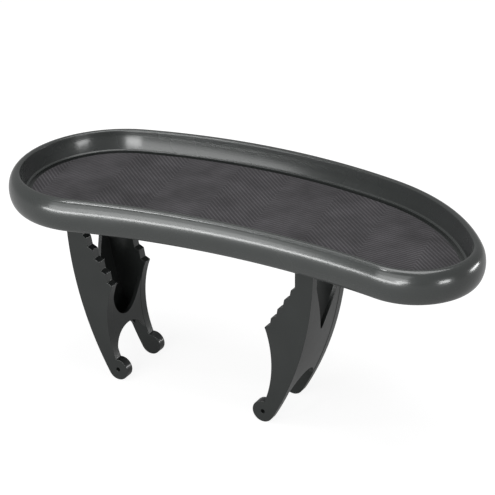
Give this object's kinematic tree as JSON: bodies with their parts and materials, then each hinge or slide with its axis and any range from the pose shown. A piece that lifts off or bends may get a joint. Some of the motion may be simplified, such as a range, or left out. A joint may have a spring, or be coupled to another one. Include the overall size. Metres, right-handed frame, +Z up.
{
  "type": "hot tub tray",
  "caption": "Kidney-shaped drinks tray with a rolled rim and ribbed mat, on two sprung stepped legs that hook over and grip the top of a tub wall.",
  "frame": {"origin": "on the ground, at the middle of the bounding box's bottom face", "axes": "+Z up, +X along the tray, -Y towards the hollow front side"},
  "size_m": [0.5842, 0.2594, 0.2365],
  "materials": {
    "shell_plastic": "glossy moulded plastic, dark metallic grey",
    "leg_plastic": "satin to glossy moulded plastic, dark metallic grey",
    "mat_rubber": "matt, fine herringbone ribs",
    "pad_rubber": "matt black",
    "bracket_plastic": "satin black moulding",
    "steel": "plain turned steel",
    "spool_plastic": "natural white nylon"
  },
  "bodies": {
    "tray": {"deck_mat": "mat_rubber", "left_bracket": "bracket_plastic", "left_bracket_screw_1": "steel", "left_bracket_screw_2": "steel", "left_bracket_screw_3": "steel", "left_bracket_screw_4": "steel", "left_hinge_pin": "steel", "left_pin_clip": "steel", "left_seat_pad": "pad_rubber", "left_spring": "steel", "left_spring_spool": "spool_plastic", "right_bracket": "bracket_plastic", "right_bracket_screw_1": "steel", "right_bracket_screw_2": "steel", "right_bracket_screw_3": "steel", "right_bracket_screw_4": "steel", "right_hinge_pin": "steel", "right_pin_clip": "steel", "right_seat_pad": "pad_rubber", "right_spring": "steel", "right_spring_spool": "spool_plastic", "tray_shell": "shell_plastic"},
    "left_leg": {"left_leg": "leg_plastic"},
    "right_leg": {"right_leg": "leg_plastic"}
  },
  "joints": [
    {"name": "left_leg_swing", "type": "hinge", "parent": "tray", "child": "left_leg", "pos_m": [-0.18488, -0.04421, 0.1953], "axis": [0, 1, 0], "range_deg": [0, 35], "stiffness_Nm_per_rad": 2, "springref_deg": -34.38, "deforming": ["left_spring"]},
    {"name": "right_leg_swing", "type": "hinge", "parent": "tray", "child": "right_leg", "pos_m": [0.11272, -0.04421, 0.1953], "axis": [0, -1, 0], "range_deg": [0, 35], "stiffness_Nm_per_rad": 2, "springref_deg": -34.38, "deforming": ["right_spring"]}
  ]
}
